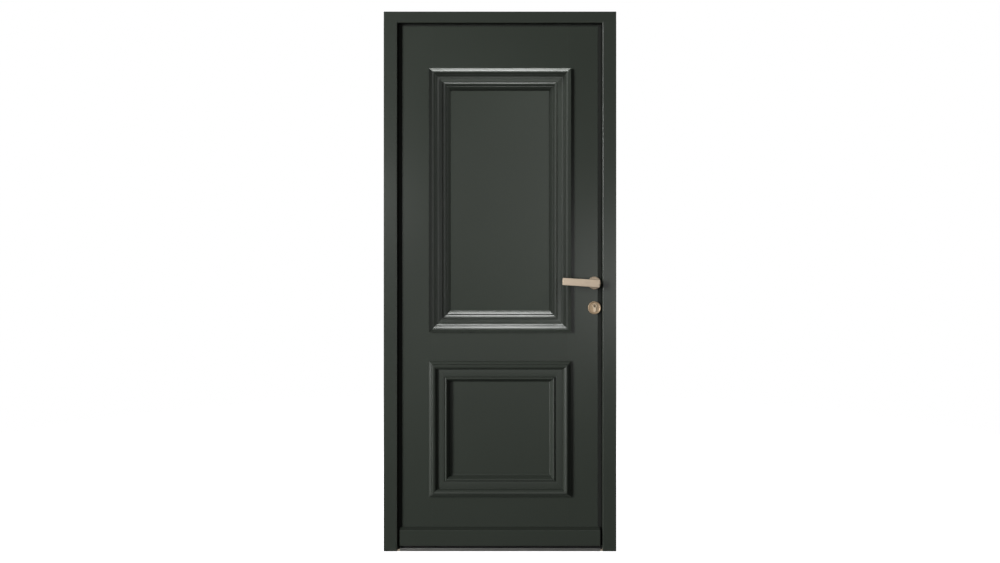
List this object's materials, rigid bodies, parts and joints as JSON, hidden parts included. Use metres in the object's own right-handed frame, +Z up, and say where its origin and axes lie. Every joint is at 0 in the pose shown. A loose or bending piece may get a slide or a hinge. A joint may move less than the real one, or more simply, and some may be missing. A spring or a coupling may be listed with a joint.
{
  "type": "front door with frame",
  "caption": "Panelled wooden front door hung in its frame, painted dark grey-green, with raised mouldings, weatherboard, aluminium threshold, lever handles and a key cylinder.",
  "frame": {"origin": "On the floor, half way across the frame and half way through the thickness of the leaf.", "axes": "+X to the right seen from outside, +Y into the house, +Z up."},
  "size_m": [0.935, 0.172, 2.17],
  "materials": {
    "painted_wood": "satin paint, dark grey-green",
    "painted_grained_wood": "satin paint over open grain, dark grey-green",
    "satin_handle_metal": "satin anodised, champagne",
    "cylinder_brass": "satin",
    "lock_steel": "brushed",
    "seal_rubber": "matte black",
    "threshold_aluminium": "mill finish",
    "end_cap_plastic": "matte beige",
    "break_plastic": "matte black"
  },
  "bodies": {
    "frame": {"hinge_jamb": "painted_wood", "lock_jamb": "painted_wood", "head": "painted_wood", "threshold": "threshold_aluminium", "threshold_break": "break_plastic", "threshold_end_caps": "end_cap_plastic", "strike_plate": "lock_steel", "strike_screws": "lock_steel", "top_hinge_frame_half": "lock_steel", "middle_hinge_frame_half": "lock_steel", "bottom_hinge_frame_half": "lock_steel", "hinge_pins": "lock_steel", "frame_hinge_screws": "lock_steel"},
    "leaf": {"hinge_stile": "painted_wood", "lock_stile": "painted_wood", "top_rail": "painted_wood", "lock_rail": "painted_wood", "bottom_rail": "painted_wood", "upper_panel": "painted_grained_wood", "lower_panel": "painted_wood", "upper_moulding_top": "painted_grained_wood", "upper_moulding_bottom": "painted_grained_wood", "upper_moulding_left": "painted_grained_wood", "upper_moulding_right": "painted_grained_wood", "lower_moulding_top": "painted_wood", "lower_moulding_bottom": "painted_wood", "lower_moulding_left": "painted_wood", "lower_moulding_right": "painted_wood", "inside_upper_moulding_top": "painted_wood", "inside_upper_moulding_bottom": "painted_wood", "inside_upper_moulding_left": "painted_wood", "inside_upper_moulding_right": "painted_wood", "inside_lower_moulding_top": "painted_wood", "inside_lower_moulding_bottom": "painted_wood", "inside_lower_moulding_left": "painted_wood", "inside_lower_moulding_right": "painted_wood", "weatherboard": "painted_wood", "leaf_seal": "seal_rubber", "bottom_seal": "seal_rubber", "top_hinge_leaf_half": "lock_steel", "middle_hinge_leaf_half": "lock_steel", "bottom_hinge_leaf_half": "lock_steel", "leaf_hinge_screws": "lock_steel", "lock_case": "lock_steel", "lock_faceplate": "lock_steel", "faceplate_screws": "lock_steel", "cylinder_body": "cylinder_brass", "cylinder_screw": "lock_steel", "outside_lever_rose": "satin_handle_metal", "inside_lever_rose": "satin_handle_metal", "outside_key_rose": "satin_handle_metal", "inside_key_rose": "satin_handle_metal"},
    "lever": {"outside_lever": "satin_handle_metal", "inside_lever": "satin_handle_metal", "spindle": "lock_steel", "lock_follower": "lock_steel"},
    "latch": {"latch_bolt": "lock_steel"},
    "dead_bolt": {"dead_bolt": "lock_steel"},
    "key_plug": {"cylinder_plug": "cylinder_brass"},
    "keeper": {"latch_keeper": "lock_steel"}
  },
  "joints": [
    {"name": "leaf_swing", "type": "hinge", "parent": "frame", "child": "leaf", "pos_m": [-0.4305, 0.0375, 0], "axis": [0, 0, 1], "range_deg": [0, 110]},
    {"name": "lever_turn", "type": "hinge", "parent": "leaf", "child": "lever", "pos_m": [0.3815, 0, 1.078], "axis": [0, -1, 0], "range_deg": [0, 40], "stiffness_Nm_per_rad": 0.9, "springref_deg": -45.84},
    {"name": "latch_slide", "type": "slide", "parent": "leaf", "child": "latch", "axis": [1, 0, 0], "range_m": [-0.012, 0]},
    {"name": "key_turn", "type": "hinge", "parent": "leaf", "child": "key_plug", "pos_m": [0.3815, 0, 0.986], "axis": [0, -1, 0], "range_deg": [0, 360]},
    {"name": "dead_bolt_slide", "type": "slide", "parent": "leaf", "child": "dead_bolt", "axis": [1, 0, 0], "range_m": [0, 0.02]},
    {"name": "keeper_swing", "type": "hinge", "parent": "frame", "child": "keeper", "pos_m": [0.4505, 0.0135, 0], "axis": [0, 0, 1], "range_deg": [0, 90]}
  ],
  "couplings": [
    {"joint": "latch_slide", "follows": "lever_turn", "m_per_rad": -0.01718},
    {"joint": "key_turn", "follows": "dead_bolt_slide", "rad_per_m": 314.16}
  ]
}
